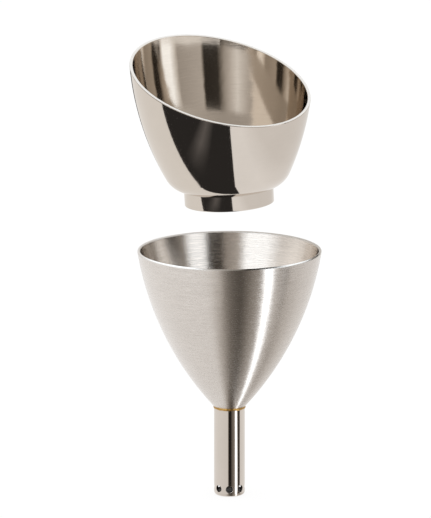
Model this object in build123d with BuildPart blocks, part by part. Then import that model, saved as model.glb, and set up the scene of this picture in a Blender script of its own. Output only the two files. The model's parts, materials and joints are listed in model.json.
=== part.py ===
"""Steel decanting funnel with its slant-rimmed drip cup held above the mouth.

Millimetres and degrees. The origin is on the spout's axis, at the shoulder where the spout meets
the cone. +Z is up and the spout points down. +X is to the right, +Y is away from the front.
"""

import os
from math import acos, cos, degrees, radians, tan

from build123d import *

# ---- Funnel cone: a shell whose wall follows one arc from the spout to the mouth ----
mouth_diameter = 92.0
cone_height = 79.5
cone_curve_radius = 155.0
cone_wall = 1.4
cone_overhang = 0.15  # the cone's lower edge stands this far outside the spout
mouth_edge_flat = 0.2  # flat left between the two rounded edges of the mouth

# ---- Spout: a tube, closed at the tip, with a ring of holes in its side ----
spout_diameter = 15.5
spout_wall = 1.0
spout_length = 44.5  # from the shoulder to the tip, end cap included
seat_step = 0.5  # the top of the tube is turned down by this to enter the cone
seat_engagement = 1.0  # how far the turned-down seat reaches into the cone
cap_thickness = 2.0
cap_edge_straight = 0.1  # straight side left above the rounded edge of the cap
hole_count = 8
hole_diameter = 3.4
hole_edge_radius = 0.2
hole_ligament = 0.15  # plain tube wall left between the end cap and the holes' rounded edges

# ---- Braze ring: fills the gap between the shoulder and the cone ----
ring_height = 1.0
ring_inset = 0.1  # the ring's face lies this far inside the spout's surface
ring_edge_radius = 0.25

# ---- Drip cup: a bowl with a slanted rim, on a foot ring ----
cup_gap = 24.0  # from the funnel's mouth up to the middle of the cup's foot
cup_lean = 3.2  # the cup's axis leans this far towards -X
foot_diameter = 44.6
foot_wall = 2.0
foot_height = 7.2  # from the foot's lower edge to the bowl's flat underside
foot_edge_radius = 0.4
floor_diameter = 39.2  # flat part of the bowl's underside
heel_radius = 12.7  # arc between the underside and the side wall
heel_angle = 63.5
side_curve_radius = 141.0  # arc that the side wall follows from the heel up
cup_wall = 1.6
rim_height = 61.5  # from the foot's lower edge to the rim plane, on the cup's axis
rim_tilt = 21.4
rim_low_bearing = -49.5  # the rim is lowest here, counted from +X towards +Y
rim_edge_flat = 0.3  # wall thickness left between the rounded edges of the rim
blank_margin = 6.0  # the bowl is made this much taller than its rim, then cut

# ---- Sizes that follow from those ----
mouth_radius = mouth_diameter / 2
spout_radius = spout_diameter / 2
bore_radius = spout_radius - spout_wall
seat_radius = spout_radius - seat_step
seat_height = ring_height + seat_engagement
mouth_level = ring_height + cone_height
mouth_edge_radius = (cone_wall - mouth_edge_flat) / 2
rim_edge_radius = (cup_wall - rim_edge_flat) / 2
cap_edge_radius = cap_thickness - cap_edge_straight
tip_level = -spout_length
tube_bottom = tip_level + cap_thickness
hole_level = tube_bottom + hole_ligament + hole_edge_radius + hole_diameter / 2
foot_radius = foot_diameter / 2

# The tube is turned by half the holes' spacing, so that its seam lies between two of them.
tube_base = Plane.XY.rotated((0, 0, 180 / hole_count))

cup_base = Plane.XY.offset(mouth_level + cup_gap).rotated((0, -cup_lean, 0))
cup_axis = Axis(cup_base.origin, cup_base.z_dir)
cup_section = Plane(cup_base.origin, x_dir=cup_base.x_dir, z_dir=-cup_base.y_dir)
rim_turn = Rot(0, 0, rim_low_bearing) * Rot(0, rim_tilt, 0)
rim_plane = Plane(cup_base.location * Pos(0, 0, rim_height) * rim_turn)

# The side wall's arc runs on past the highest point of the slanted rim.
heel_turn = cos(radians(heel_angle))
side_centre_level = foot_height + heel_radius * (1 - heel_turn) + side_curve_radius * heel_turn
blank_level = rim_height + mouth_radius * tan(radians(rim_tilt)) + blank_margin
side_arc = degrees(acos((side_centre_level - blank_level) / side_curve_radius)) - heel_angle

os.makedirs("parts", exist_ok=True)


# ---- Funnel cone ----
with BuildPart() as funnel_cone:
    with BuildSketch(Plane.XZ):
        with BuildLine():
            cone_side = RadiusArc(
                (spout_radius + cone_overhang, ring_height),
                (mouth_radius, mouth_level),
                -cone_curve_radius,
            )
            Polyline(cone_side @ 1, (0, mouth_level), (0, ring_height), cone_side @ 0)
        make_face()
    revolve(axis=Axis.Z)
    cone_ends = funnel_cone.faces().filter_by(Axis.Z)
    offset(amount=-cone_wall, openings=cone_ends)
    # the bore that the spout's turned-down seat enters
    with BuildSketch(Plane.XY.offset(ring_height)):
        Circle(seat_radius)
    extrude(amount=seat_engagement, mode=Mode.SUBTRACT)
    mouth_edges = funnel_cone.faces().filter_by(Axis.Z).sort_by(Axis.Z)[-1].edges()
    fillet(mouth_edges, mouth_edge_radius)
funnel_cone.part.label = "funnel_cone"
export_step(funnel_cone.part, "parts/funnel_cone.step")


# ---- Spout tube ----
with BuildPart() as spout_tube:
    with BuildSketch(tube_base.offset(tube_bottom)):
        Circle(spout_radius)
        Circle(bore_radius, mode=Mode.SUBTRACT)
    extrude(amount=-tube_bottom)
    with BuildSketch(tube_base):
        Circle(seat_radius)
        Circle(bore_radius, mode=Mode.SUBTRACT)
    extrude(amount=seat_height)
    # each hole is drilled from the axis outwards, through one side of the tube
    for index in range(hole_count):
        outward = Vector(1, 0, 0).rotate(Axis.Z, index * 360 / hole_count)
        with BuildSketch(Plane((0, 0, hole_level), z_dir=outward)):
            Circle(hole_diameter / 2)
        extrude(amount=spout_diameter, mode=Mode.SUBTRACT)
    outside_face = spout_tube.faces().sort_by(SortBy.AREA)[-1]
    fillet(outside_face.inner_wires().edges(), hole_edge_radius)
spout_tube.part.label = "spout_tube"
export_step(spout_tube.part, "parts/spout_tube.step")


# ---- Spout end cap ----
with BuildPart() as spout_end_cap:
    with BuildSketch(Plane.XY.offset(tip_level)):
        Circle(spout_radius)
    extrude(amount=cap_thickness)
    fillet(spout_end_cap.edges().sort_by(Axis.Z)[0], cap_edge_radius)
spout_end_cap.part.label = "spout_end_cap"
export_step(spout_end_cap.part, "parts/spout_end_cap.step")


# ---- Braze ring ----
with BuildPart() as braze_ring:
    with BuildSketch():
        Circle(spout_radius - ring_inset)
        Circle(seat_radius, mode=Mode.SUBTRACT)
    extrude(amount=ring_height)
    ring_edges = braze_ring.edges().filter_by(GeomType.CIRCLE).group_by(SortBy.RADIUS)[-1]
    fillet(ring_edges, ring_edge_radius)
braze_ring.part.label = "braze_ring"
export_step(braze_ring.part, "parts/braze_ring.step")


# ---- Cup bowl: a solid of the outside shape first, which the foot is cut to fit ----
with BuildPart() as bowl_outside:
    with BuildSketch(cup_section):
        with BuildLine():
            underside = Line((0, foot_height), (floor_diameter / 2, foot_height))
            heel = JernArc(underside @ 1, underside % 1, heel_radius, heel_angle)
            side = JernArc(heel @ 1, heel % 1, side_curve_radius, side_arc)
            Polyline(side @ 1, (0, (side @ 1).Y), underside @ 0)
        make_face()
    revolve(axis=cup_axis)

with BuildPart() as cup_bowl:
    add(bowl_outside.part)
    offset(amount=-cup_wall, openings=cup_bowl.faces().sort_by(cup_axis)[-1])
    split(bisect_by=rim_plane, keep=Keep.BOTTOM)
    rim_face = cup_bowl.faces().filter_by(rim_plane).sort_by(Axis(rim_plane.origin, rim_plane.z_dir))[-1]
    fillet(rim_face.edges(), rim_edge_radius)
cup_bowl.part.label = "cup_bowl"
export_step(cup_bowl.part, "parts/cup_bowl.step")


# ---- Cup foot ----
with BuildPart() as cup_foot:
    with BuildSketch(cup_base):
        Circle(foot_radius)
        Circle(foot_radius - foot_wall, mode=Mode.SUBTRACT)
    extrude(amount=foot_height + heel_radius)
    add(bowl_outside.part, mode=Mode.SUBTRACT)
    foot_edges = cup_foot.edges().filter_by(GeomType.CIRCLE).group_by(cup_axis)[0]
    fillet(foot_edges, foot_edge_radius)
cup_foot.part.label = "cup_foot"
export_step(cup_foot.part, "parts/cup_foot.step")
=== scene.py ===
import json
import math

import bmesh
import bpy
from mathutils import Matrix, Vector, noise


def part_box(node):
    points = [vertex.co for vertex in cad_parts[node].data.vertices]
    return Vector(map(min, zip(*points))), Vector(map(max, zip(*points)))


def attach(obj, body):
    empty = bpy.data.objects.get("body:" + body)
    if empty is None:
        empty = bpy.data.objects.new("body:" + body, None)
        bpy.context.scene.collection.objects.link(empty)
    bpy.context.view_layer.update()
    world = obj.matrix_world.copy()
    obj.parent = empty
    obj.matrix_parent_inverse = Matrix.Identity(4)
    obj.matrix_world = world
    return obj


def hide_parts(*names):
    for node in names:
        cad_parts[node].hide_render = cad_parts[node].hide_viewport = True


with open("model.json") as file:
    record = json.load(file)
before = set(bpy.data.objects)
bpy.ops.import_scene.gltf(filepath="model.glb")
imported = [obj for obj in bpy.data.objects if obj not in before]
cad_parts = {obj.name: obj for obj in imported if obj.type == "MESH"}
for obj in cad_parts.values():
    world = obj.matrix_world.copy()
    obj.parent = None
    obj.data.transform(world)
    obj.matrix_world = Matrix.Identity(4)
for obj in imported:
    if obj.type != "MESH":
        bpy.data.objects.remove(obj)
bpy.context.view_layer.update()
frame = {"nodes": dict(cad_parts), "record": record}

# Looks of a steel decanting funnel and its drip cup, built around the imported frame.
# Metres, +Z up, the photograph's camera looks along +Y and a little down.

MM = 0.001

# ---- Places, taken from the frame ----
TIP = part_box("spout_end_cap")[0].z
RING_LOW, RING_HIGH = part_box("braze_ring")
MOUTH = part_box("funnel_cone")[1].z
SPOUT_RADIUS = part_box("spout_end_cap")[1].x
foot_mount = next(m for m in frame["record"]["mounts"] if m["name"] == "cup_foot")
UP = Vector((0, 0, 1))
CUP_UP = -Vector(foot_mount["axis"]).normalized()
CUP_SIDE = Vector((CUP_UP.z, 0, -CUP_UP.x))
foot_edge = Vector(foot_mount["pos_m"])
CUP_BASE = foot_edge - CUP_SIDE * (foot_edge.x / CUP_SIDE.x)
FUNNEL_BASE = Vector((0, 0, 0))

# ---- The photograph's camera, in degrees and metres ----
CAMERA_RISE = 12.3
CAMERA_DISTANCE = 5.0
FRAME_HEIGHT = 0.258
AIM = Vector((-0.00697, 0.0, 0.0759))
rise = math.radians(CAMERA_RISE)
TO_CAMERA = Vector((0, -math.cos(rise), math.sin(rise)))


# ---- Short calls for node trees ----
class Tree:
    """Fills one material's or world's node tree."""

    def __init__(self, owner):
        owner.use_nodes = True
        self.tree = owner.node_tree
        self.tree.nodes.clear()

    def node(self, kind, inputs=None, **settings):
        made = self.tree.nodes.new(kind)
        for name, value in settings.items():
            setattr(made, name, value)
        for name, value in (inputs or {}).items():
            self.put(made.inputs[name], value)
        return made

    def put(self, socket, value):
        if isinstance(value, bpy.types.NodeSocket):
            self.tree.links.new(value, socket)
        else:
            socket.default_value = value

    def math(self, operation, *values):
        made = self.node("ShaderNodeMath", operation=operation)
        for index, value in enumerate(values):
            self.put(made.inputs[index], value)
        return made.outputs[0]

    def vector(self, operation, *values):
        made = self.node("ShaderNodeVectorMath", operation=operation)
        for index, value in enumerate(values):
            self.put(made.inputs[index], value)
        return made.outputs["Value" if operation in ("DOT_PRODUCT", "LENGTH") else "Vector"]

    def scaled(self, vector, factor):
        made = self.node("ShaderNodeVectorMath", {"Vector": vector, "Scale": factor}, operation="SCALE")
        return made.outputs["Vector"]

    def place(self):
        return self.node("ShaderNodeTexCoord").outputs["Object"]

    def parts(self, vector):
        made = self.node("ShaderNodeSeparateXYZ", {"Vector": vector})
        return made.outputs["X"], made.outputs["Y"], made.outputs["Z"]

    def grain(self, vector, detail=3.0, roughness=0.55):
        inputs = {"Vector": vector, "Scale": 1.0, "Detail": detail, "Roughness": roughness}
        return self.node("ShaderNodeTexNoise", inputs).outputs["Fac"]

    def remap(self, value, low, high, to_low=0.0, to_high=1.0):
        inputs = {"Value": value, "From Min": low, "From Max": high, "To Min": to_low, "To Max": to_high}
        return self.node("ShaderNodeMapRange", inputs).outputs["Result"]

    def ramp(self, value, stops):
        made = self.node("ShaderNodeValToRGB", {"Fac": value})
        elements = made.color_ramp.elements
        while len(elements) < len(stops):
            elements.new(0.5)
        for element, (position, colour) in zip(elements, stops):
            element.position = position
            element.color = (*colour, 1.0)
        return made.outputs["Color"]

    def mix(self, factor, first, second, blend="MIX"):
        made = self.node("ShaderNodeMix", data_type="RGBA", blend_type=blend)
        self.put(made.inputs["Factor"], factor)
        self.put(made.inputs[6], first)
        self.put(made.inputs[7], second)
        return made.outputs[2]

    def lerp(self, factor, first, second):
        made = self.node("ShaderNodeMix", data_type="FLOAT")
        self.put(made.inputs["Factor"], factor)
        self.put(made.inputs[2], first)
        self.put(made.inputs[3], second)
        return made.outputs[0]


# ---- Steel and braze metal ----
LONG_MARKS = 3.0  # reach round the axis of the two sorts of ring marks
SHORT_MARKS = 12.0
SHORT_PITCH = 0.6  # the short marks' share of the long ones' pitch
CLOUD_SCALE = 45.0  # slow changes of tone, per metre
SWELL_SCALE = 110.0  # slow waves in a polished surface, per metre
MARK_DEPTH = 0.03 * MM


class Turned:
    """Where a point of a turned surface is, seen from its axis, as sockets of one tree."""

    def __init__(self, t, origin, axis):
        arm = t.vector("SUBTRACT", t.place(), tuple(origin))
        self.height = t.vector("DOT_PRODUCT", arm, tuple(axis))
        radial = t.vector("SUBTRACT", arm, t.scaled(tuple(axis), self.height))
        self.radius = t.vector("LENGTH", radial)
        self.outward = t.vector("NORMALIZE", radial)
        self.round_way = t.vector("NORMALIZE", t.vector("CROSS_PRODUCT", tuple(axis), radial))
        normal = t.node("ShaderNodeNewGeometry").outputs["Normal"]
        self.faces_out = t.vector("DOT_PRODUCT", normal, self.outward)
        self.faces_up = t.vector("DOT_PRODUCT", normal, tuple(axis))


def ring_marks(t, turned, reach, pitch, shift):
    """Noise drawn out round the axis, as turning and brushing marks are. A lower reach is longer."""
    x, y, z = t.parts(t.scaled(turned.outward, reach))
    along_wall = t.math("ADD", turned.height, turned.radius)
    level = t.math("ADD", t.math("DIVIDE", along_wall, pitch), shift)
    joined = t.node("ShaderNodeCombineXYZ", {"X": x, "Y": y, "Z": t.math("ADD", z, level)})
    return t.grain(joined.outputs["Vector"])


def metal(name, origin, axis, finish, spread, others=(), wave=0.0, pitch=0.5 * MM):
    """Metal with circular marks. A finish is (colour, roughness, brushing), and each of the others is
    (where, finish), with where(t, turned) 1 in the places that have it. spread is the anisotropy."""
    material = bpy.data.materials.new(name)
    t = Tree(material)
    turned = Turned(t, origin, axis)
    colour, roughness, brushing = (*finish[0], 1.0), finish[1], finish[2]
    for where, other in others:
        here = where(t, turned)
        colour = t.mix(here, colour, (*other[0], 1.0))
        roughness = t.lerp(here, roughness, other[1])
        brushing = t.lerp(here, brushing, other[2])
    long_marks = ring_marks(t, turned, LONG_MARKS, pitch, 0.0)
    short_marks = ring_marks(t, turned, SHORT_MARKS, pitch * SHORT_PITCH, 31.0)
    marks = t.lerp(0.5, long_marks, short_marks)
    marks_off = t.math("MULTIPLY", t.math("SUBTRACT", marks, 0.5), brushing)
    cloud = t.math("SUBTRACT", t.grain(t.scaled(t.place(), CLOUD_SCALE)), 0.5)
    darker = t.math("ADD", t.math("MULTIPLY", marks_off, 0.75), t.math("MULTIPLY", cloud, 0.12))
    shade = t.math("ADD", 1.0, darker)
    shade_colour = t.node("ShaderNodeCombineColor", {"Red": shade, "Green": shade, "Blue": shade})
    tint = t.mix(1.0, colour, shade_colour.outputs["Color"], "MULTIPLY")
    uneven = t.math("ADD", 1.0, t.math("ADD", marks_off, t.math("MULTIPLY", cloud, 0.3)))
    rough = t.math("MULTIPLY", roughness, uneven)
    marks_bump = {"Height": marks_off, "Strength": 1.0, "Distance": MARK_DEPTH}
    normal = t.node("ShaderNodeBump", marks_bump).outputs["Normal"]
    if wave:
        swell = t.grain(t.scaled(t.place(), SWELL_SCALE), 1.0, 0.4)
        wave_bump = {"Height": swell, "Strength": 1.0, "Distance": wave, "Normal": normal}
        normal = t.node("ShaderNodeBump", wave_bump).outputs["Normal"]
    shader = t.node("ShaderNodeBsdfPrincipled", {
        "Base Color": tint, "Metallic": 1.0, "Roughness": rough, "Normal": normal,
        "Anisotropic": spread, "Anisotropic Rotation": 0.25, "Tangent": turned.round_way})
    t.node("ShaderNodeOutputMaterial", {"Surface": shader.outputs["BSDF"]})
    return material


# The funnel's mouth. It is painted paler: a painted highlight of the light above.
def cone_rim_highlight(t, turned):
    return t.remap(turned.height, MOUTH - 0.9 * MM, MOUTH - 0.6 * MM)


def cone_inside(t, turned):
    return t.remap(turned.faces_out, 0.1, -0.1)


def bowl_inside(t, turned):
    outwards = t.math("SUBTRACT", turned.faces_out, t.math("MULTIPLY", turned.faces_up, 0.5))
    return t.remap(outwards, 0.05, -0.05)


# The top of the cup's rim. It is painted paler: a painted highlight of the light above.
def bowl_rim_highlight(t, turned):
    return t.math("MULTIPLY", t.remap(turned.faces_up, 0.4, 0.5), t.remap(turned.height, 34 * MM, 36 * MM))


# Where the spout's bore is. It is painted near-black: painted shade inside the tube.
def tube_bore_shade(t, turned):
    return t.remap(turned.radius, SPOUT_RADIUS - 0.25 * MM, SPOUT_RADIUS - 0.35 * MM)


# The cap's upward face at the bottom of the bore. It is painted near-black: painted shade inside the tube.
def cap_bore_shade(t, turned):
    return t.remap(turned.faces_up, 0.5, 0.6)


# Each finish is (colour, roughness, strength of the ring marks).
MIRROR_STEEL = ((0.67, 0.612, 0.555), 0.075, 0.1)
SATIN_STEEL = ((0.75, 0.705, 0.665), 0.27, 1.0)
SATIN_INSIDE = ((0.75, 0.70, 0.65), 0.14, 1.3)
CUP_INSIDE = ((0.75, 0.68, 0.60), 0.075, 0.4)
# Pale steel for the rims: the paler colour is a painted highlight where the rims face the light above.
RIM_HIGHLIGHT = ((0.84, 0.82, 0.79), 0.28, 0.2)
# Near-black steel for the bore and the cap's inside: painted shade where the tube is dark inside.
BORE_PAINTED_SHADE = ((0.05, 0.045, 0.04), 0.5, 0.6)
BRAZE_METAL = ((0.55, 0.33, 0.10), 0.33, 0.6)

# The cone's mouth gets the pale painted highlight.
cone_steel = metal("cone_steel", FUNNEL_BASE, UP, SATIN_STEEL, 0.95,
                   [(cone_inside, SATIN_INSIDE), (cone_rim_highlight, RIM_HIGHLIGHT)])
# The bore and the cap's inside get the near-black painted shade.
spout_steel = metal("spout_steel", FUNNEL_BASE, UP, MIRROR_STEEL, 0.4,
                    [(tube_bore_shade, BORE_PAINTED_SHADE)], wave=0.02 * MM)
cap_steel = metal("cap_steel", FUNNEL_BASE, UP, MIRROR_STEEL, 0.4,
                  [(cap_bore_shade, BORE_PAINTED_SHADE)], wave=0.02 * MM)
# The cup's rim gets the pale painted highlight.
bowl_steel = metal("bowl_steel", CUP_BASE, CUP_UP, MIRROR_STEEL, 0.7,
                   [(bowl_inside, CUP_INSIDE), (bowl_rim_highlight, RIM_HIGHLIGHT)], wave=0.01 * MM)
foot_steel = metal("foot_steel", CUP_BASE, CUP_UP, MIRROR_STEEL, 0.5, wave=0.01 * MM)
braze = metal("braze", FUNNEL_BASE, UP, BRAZE_METAL, 0.3, wave=0.1 * MM)

FINISHES = {
    "funnel_cone": cone_steel,
    "spout_tube": spout_steel,
    "spout_end_cap": cap_steel,
    "braze_ring": braze,
    "cup_bowl": bowl_steel,
    "cup_foot": foot_steel,
}
for node, material in FINISHES.items():
    for slot in frame["nodes"][node].material_slots:
        slot.material = material


# ---- The bead of braze metal, laid by hand round the shoulder ----
BEAD_STEPS = 180
BEAD_SIDES = 12
BEAD_OUT = 0.47 * MM  # half of the section's width and of its height
BEAD_TALL = 0.72 * MM
BEAD_WANDER = 0.12 * MM
BEAD_OFFSET = 0.05 * MM


def braze_bead():
    """A closed, slightly uneven ring of oval section that laps over the tube and the cone."""
    shell = bmesh.new()
    middle_radius = RING_HIGH.x - BEAD_OFFSET
    middle_level = (RING_LOW.z + RING_HIGH.z) / 2 + BEAD_OFFSET
    loops = []
    for step in range(BEAD_STEPS):
        turn = 2 * math.pi * step / BEAD_STEPS
        way = Vector((math.cos(turn), math.sin(turn), 0))
        swell = 1 + 0.25 * noise.noise(way * 3.0) + 0.12 * noise.noise(way * 9.0)
        lift = BEAD_WANDER * noise.noise(way * 2.0 + UP * 7.0)
        loop = []
        for side in range(BEAD_SIDES):
            angle = 2 * math.pi * side / BEAD_SIDES
            out = middle_radius + BEAD_OUT * swell * math.cos(angle)
            level = middle_level + lift + BEAD_TALL * swell * math.sin(angle)
            loop.append(shell.verts.new(way * out + UP * level))
        loops.append(loop)
    for step, loop in enumerate(loops):
        after = loops[(step + 1) % BEAD_STEPS]
        for side in range(BEAD_SIDES):
            beside = (side + 1) % BEAD_SIDES
            face = shell.faces.new((loop[side], after[side], after[beside], loop[beside]))
            face.smooth = True
    bmesh.ops.recalc_face_normals(shell, faces=shell.faces)
    mesh = bpy.data.meshes.new("braze_bead")
    shell.to_mesh(mesh)
    shell.free()
    mesh.materials.append(braze)
    bead = bpy.data.objects.new("braze_bead", mesh)
    bpy.context.scene.collection.objects.link(bead)
    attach(bead, "funnel")
    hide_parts("braze_ring")


braze_bead()


# ---- Studio: white light all round, and cards that the metal mirrors but the camera doesn't see ----
def staged(name, mesh, camera=False, glossy=False):
    made = bpy.data.objects.new(name, mesh)
    bpy.context.scene.collection.objects.link(made)
    made.visible_camera = camera
    made.visible_glossy = glossy
    made.visible_diffuse = False
    made.visible_transmission = False
    made.visible_shadow = False
    return made


def square(name, reach, level, material):
    mesh = bpy.data.meshes.new(name)
    corners = [(-reach, -reach, level), (reach, -reach, level), (reach, reach, level), (-reach, reach, level)]
    mesh.from_pydata(corners, [], [(0, 1, 2, 3)])
    mesh.materials.append(material)
    return mesh


def glow(name, colour_of):
    material = bpy.data.materials.new(name)
    material.cycles.emission_sampling = "NONE"
    t = Tree(material)
    surface = t.node("ShaderNodeEmission", {"Color": colour_of(t), "Strength": 1.0}).outputs["Emission"]
    t.node("ShaderNodeOutputMaterial", {"Surface": surface})
    return material


def warm(level):
    """Dim cards are warmer than bright ones."""
    blue = 0.73 + 0.27 * min(level, 1.35)
    return (level, level * (1 + blue) / 2, level * blue)


def level_at(place, stops):
    for (start, first), (end, last) in zip(stops, stops[1:]):
        if place <= end:
            return first + (last - first) * (place - start) / (end - start)
    return stops[-1][1]


# Stops are (bearing, level). Level 1 is the white of the studio, and a bearing is the one that a wall
# faces, in degrees from the front and positive to the right.
CONE_CARDS = [(-88, 1.1), (-35, 0.85), (-14, 0.8), (0, 0.2), (8, 0.1), (22, 0.5), (25, 2.2), (27, 2.2),
              (30, 0.7), (38, 0.45), (55, 0.75), (88, 1.0)]
SPOUT_CARDS = [(-88, 1.0), (-6, 0.85), (-3, 0.02), (6, 0.02), (9, 0.15), (20, 0.3), (23, 3.0), (27, 3.0),
               (30, 0.3), (36, 0.02), (40, 0.02), (43, 0.9), (88, 1.0)]
CUP_CARDS = [(-88, 0.7), (-20, 0.4), (-10, 0.8), (-2, 0.4), (3, 0.04), (12, 0.03), (14, 0.5), (30, 0.4),
             (36, 1.2), (42, 1.2), (45, 0.05), (48, 0.5), (88, 0.7)]
CUP_FLOOR_CARDS = [(-88, 0.5), (0, 0.4), (88, 0.7)]
# Each row is (lowest tilt, highest tilt, stops), where a wall that leans back to face up tilts above 0.
CARD_ROWS = [
    (-42, -7, CONE_CARDS),
    (-7, 2, SPOUT_CARDS),
    (2, 16.5, CUP_CARDS),
    (16.5, 24, CUP_FLOOR_CARDS),
]
CARD_STEP = 0.5  # degrees of bearing from one column of points to the next
CARD_TILT_STEP = 2  # the most degrees of tilt from one row of points to the next
CARD_DISTANCE = 12.0


def mirrored(bearing, tilt):
    """The way to a card that a wall facing this bearing and tilt mirrors to the camera's place."""
    turn, lift = math.radians(bearing), math.radians(tilt)
    facing = Vector((math.sin(turn) * math.cos(lift), -math.cos(turn) * math.cos(lift), math.sin(lift)))
    return 2 * facing.dot(TO_CAMERA) * facing - TO_CAMERA


def card_row(name, low, high, stops):
    """A curved row of far cards, for walls whose tilt is between low and high."""
    leftmost = stops[0][0]
    columns = round((stops[-1][0] - leftmost) / CARD_STEP)
    rows = math.ceil((high - low) / CARD_TILT_STEP)
    centre = UP * (MOUTH + TIP) / 2
    points = []
    colours = []
    for row in range(rows + 1):
        tilt = low + (high - low) * row / rows
        for column in range(columns + 1):
            bearing = leftmost + column * CARD_STEP
            points.append(centre + CARD_DISTANCE * mirrored(bearing, tilt))
            colours.append((*warm(level_at(bearing, stops)), 1.0))
    width = columns + 1
    faces = []
    for row in range(rows):
        for start in range(row * width, row * width + columns):
            faces.append((start, start + 1, start + 1 + width, start + width))
    mesh = bpy.data.meshes.new(name)
    mesh.from_pydata(points, [], faces)
    painted = mesh.color_attributes.new("level", "FLOAT_COLOR", "POINT")
    for point, colour in zip(painted.data, colours):
        point.color = colour
    mesh.materials.append(card_light)
    staged(name, mesh, glossy=True)


def painted_level(t):
    return t.node("ShaderNodeVertexColor", layer_name="level").outputs["Color"]


card_light = glow("card_light", painted_level)
for number, card_places in enumerate(CARD_ROWS):
    card_row(f"cards_{number}", *card_places)

# A tabletop between the two things: the cup mirrors its upper side, the funnel's inside the lower one.
TABLE_LEVEL = 0.092
TABLE_REACH = 0.6
TABLE_WHITE = (0.92, 0.9, 0.87, 1.0)
TABLE_RIGHT_NEAR = (0.97, 0.96, 0.95, 1.0)
TABLE_RIGHT_FAR = (0.84, 0.82, 0.8, 1.0)
TABLE_DARK = (0.03, 0.028, 0.027, 1.0)
TABLE_SHEEN = (0.14, 0.13, 0.125, 1.0)
FAR_BAND_DARK = (0.1, 0.095, 0.09, 1.0)
# The dark quarter's two edges, each from one (x, y) to another. Past its ends, an edge runs on parallel
# to the y axis on the side, and to the x axis at the corner.
SIDE_START = (14.5 * MM, -124 * MM)
SIDE_END = (9 * MM, -45 * MM)
CORNER_START = (-31 * MM, -33 * MM)
CORNER_END = (6 * MM, -17 * MM)
EDGE_BLUR = 0.4 * MM
SHEEN_MIDDLE = 48 * MM  # how far to the left of the axis
SHEEN_HALF_WIDTH = 20 * MM
SHEEN_FADES_IN = (-40 * MM, -80 * MM)
RIGHT_STARTS = (0.0, 12 * MM)
RIGHT_TURNS_FAR = (40 * MM, 80 * MM)
FAR_BAND_EDGE = (0.17, 0.12)  # half of its width, for each unit away, at the soft edge's two sides
FAR_BAND_FADES_IN = (100 * MM, 160 * MM)
FAR_BAND_LEAN = 0.3  # the band runs this far to the left for each unit away from the front
UNDER_STOPS = [
    (-180, 0.6), (-100, 0.85), (-75, 0.9), (-50, 1.5), (-22, 1.5), (-12, 0.5), (5, 0.3), (10, 0.03),
    (26, 0.03), (34, 1.3), (52, 1.4), (64, 0.3), (80, 0.03), (90, 0.03), (100, 0.6), (180, 0.6),
]
FUNNEL_FOCUS = 25 * MM  # the underside's bearings are counted round a point this far behind the axis


def table_above(t, x, y):
    """White, with a dark quarter to the front left whose corner lies under the cup, and a dark band
    far behind, which gives the cup's back something to mirror."""
    side_edge = t.remap(y, SIDE_START[1], SIDE_END[1], SIDE_START[0], SIDE_END[0])
    corner_edge = t.remap(x, CORNER_START[0], CORNER_END[0], CORNER_START[1], CORNER_END[1])
    past_side = t.remap(t.math("SUBTRACT", side_edge, x), -EDGE_BLUR, EDGE_BLUR)
    past_corner = t.remap(t.math("SUBTRACT", corner_edge, y), -EDGE_BLUR, EDGE_BLUR)
    in_dark = t.math("MULTIPLY", past_side, past_corner)
    from_sheen = t.math("ABSOLUTE", t.math("ADD", x, SHEEN_MIDDLE))
    sheen_across = t.remap(from_sheen, SHEEN_HALF_WIDTH, 0.0)
    sheen = t.math("MULTIPLY", sheen_across, t.remap(y, *SHEEN_FADES_IN))
    dark = t.mix(sheen, TABLE_DARK, TABLE_SHEEN)
    from_band = t.math("ABSOLUTE", t.math("ADD", t.math("DIVIDE", x, y), FAR_BAND_LEAN))
    far_band = t.math("MULTIPLY", t.remap(from_band, *FAR_BAND_EDGE), t.remap(y, *FAR_BAND_FADES_IN))
    right = t.mix(t.remap(x, *RIGHT_TURNS_FAR), TABLE_RIGHT_NEAR, TABLE_RIGHT_FAR)
    white = t.mix(t.remap(x, *RIGHT_STARTS), TABLE_WHITE, right)
    return t.mix(in_dark, t.mix(far_band, white, FAR_BAND_DARK), dark)


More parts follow.
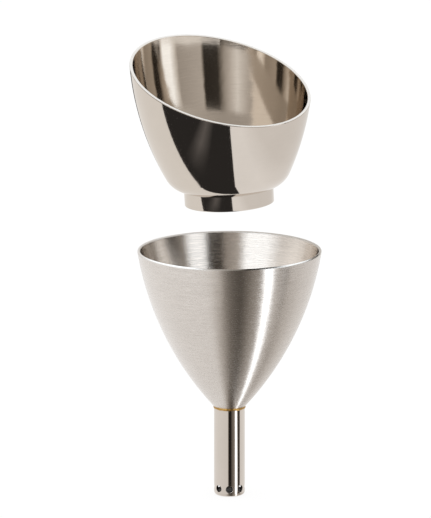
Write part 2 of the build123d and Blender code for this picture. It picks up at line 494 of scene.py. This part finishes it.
def table_colour(t):
    x, y, _ = t.parts(t.place())
    bearing = t.math("ARCTAN2", x, t.math("SUBTRACT", FUNNEL_FOCUS, y))
    share = t.remap(bearing, -math.pi, math.pi)
    below = t.ramp(share, [((degrees + 180) / 360, warm(level)) for degrees, level in UNDER_STOPS])
    seen_from_below = t.node("ShaderNodeNewGeometry").outputs["Backfacing"]
    return t.mix(seen_from_below, table_above(t, x, y), below)


staged("table", square("table", TABLE_REACH, TABLE_LEVEL, glow("table_light", table_colour)), glossy=True)

# ---- Floor and light ----
FLOOR_REACH = 8.0
FLOOR_GLOW = 0.9
FLOOR_GREY = (0.12, 0.12, 0.12, 1)
WHITE = (1, 1, 1, 1)


def floor_paint():
    """Pale, with its own light, so that the object's shade on it is faint."""
    material = bpy.data.materials.new("floor")
    t = Tree(material)
    lit = t.node("ShaderNodeEmission", {"Color": WHITE, "Strength": FLOOR_GLOW})
    matt = t.node("ShaderNodeBsdfDiffuse", {"Color": FLOOR_GREY})
    both = t.node("ShaderNodeAddShader")
    t.put(both.inputs[0], lit.outputs[0])
    t.put(both.inputs[1], matt.outputs[0])
    t.node("ShaderNodeOutputMaterial", {"Surface": both.outputs[0]})
    return material


def white_world():
    world = bpy.data.worlds.new("studio")
    t = Tree(world)
    sky = t.node("ShaderNodeBackground", {"Color": WHITE, "Strength": 1.0})
    t.node("ShaderNodeOutputWorld", {"Surface": sky.outputs[0]})
    return world


staged("floor", square("floor", FLOOR_REACH, TIP, floor_paint()), camera=True)
bpy.context.scene.world = white_world()
bpy.context.scene.view_settings.view_transform = "Standard"

# ---- Camera ----
camera = bpy.data.objects.new("camera", bpy.data.cameras.new("camera"))
bpy.context.scene.collection.objects.link(camera)
camera.location = AIM + TO_CAMERA * CAMERA_DISTANCE
camera.rotation_euler = TO_CAMERA.to_track_quat("Z", "Y").to_euler()
camera.data.lens = camera.data.sensor_width * CAMERA_DISTANCE / FRAME_HEIGHT
camera.data.clip_start = 0.1
camera.data.clip_end = 100.0
bpy.context.scene.camera = camera
